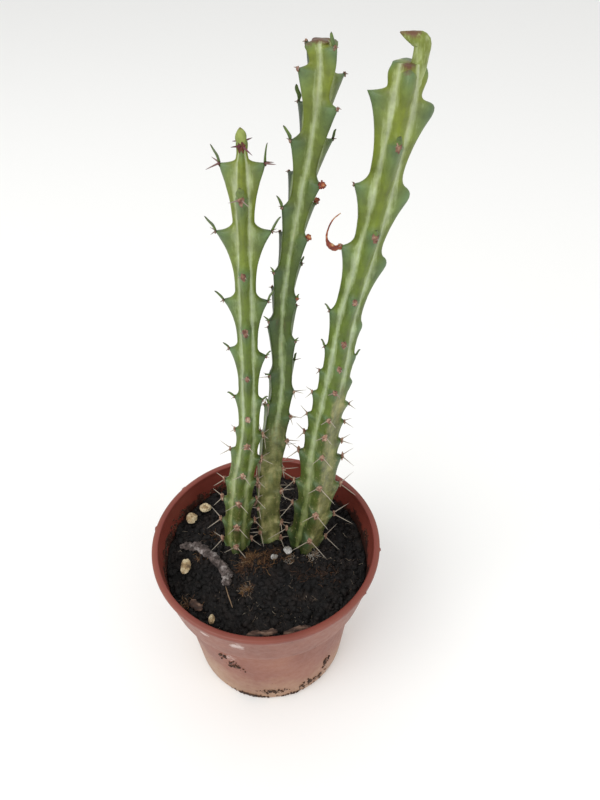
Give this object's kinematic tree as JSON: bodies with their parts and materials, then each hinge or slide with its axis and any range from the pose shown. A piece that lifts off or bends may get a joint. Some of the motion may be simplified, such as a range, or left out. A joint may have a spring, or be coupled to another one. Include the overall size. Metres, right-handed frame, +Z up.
{
  "type": "potted euphorbia",
  "caption": "Four-ribbed toothed euphorbia stems with small leaves and paired spines, growing in a small round plastic nursery pot of peat soil.",
  "frame": {"origin": "centre of the pot's underside, on the surface that it stands on", "axes": "+Z up along the pot's axis, -Y towards the front of the plant, +X to its right, the side that the stems lean to"},
  "size_m": [0.0865, 0.085, 0.2313],
  "materials": {
    "terracotta_plastic": "moulded polypropylene, satin, terracotta colour",
    "potting_soil": "damp peat with fibres, crumbly",
    "stem_skin": "waxy green skin with pale stripes in the grooves",
    "leaf": "fleshy dark green leaf",
    "withered_leaf": "dry, orange-brown",
    "weathered_bark": "grey weathered bark",
    "wood_chip": "brown composted wood",
    "pumice": "cream, porous",
    "perlite": "white, porous"
  },
  "bodies": {
    "root": {"pot": "terracotta_plastic", "soil": "potting_soil", "stem_left": "stem_skin", "stem_middle": "stem_skin", "stem_right": "stem_skin", "withered_leaf": "withered_leaf", "bark_strip": "weathered_bark", "wood_chip_front_left": "wood_chip", "wood_chip_front_right": "wood_chip", "wood_chip_left": "wood_chip", "pumice_grain_1": "pumice", "pumice_grain_2": "pumice", "pumice_grain_3": "pumice", "pumice_grain_4": "pumice", "perlite_lump_1": "perlite", "perlite_lump_2": "perlite", "leaf_left_1": "leaf", "leaf_left_2": "leaf", "leaf_left_3": "leaf", "leaf_left_4": "leaf", "leaf_left_5": "leaf", "leaf_left_6": "leaf", "leaf_left_7": "leaf", "leaf_left_8": "leaf", "leaf_left_9": "leaf", "leaf_left_10": "leaf", "leaf_left_11": "leaf", "leaf_left_12": "leaf", "leaf_middle_1": "leaf", "leaf_middle_2": "leaf", "leaf_middle_3": "leaf", "leaf_middle_4": "leaf", "leaf_middle_5": "leaf", "leaf_middle_6": "leaf", "leaf_middle_7": "leaf", "leaf_middle_8": "leaf", "leaf_middle_9": "leaf", "leaf_middle_10": "leaf", "leaf_middle_11": "leaf", "leaf_middle_12": "leaf", "leaf_middle_13": "leaf", "leaf_right_1": "leaf", "leaf_right_2": "leaf", "leaf_right_3": "leaf", "leaf_right_4": "leaf", "leaf_right_5": "leaf"}
  },
  "joints": []
}
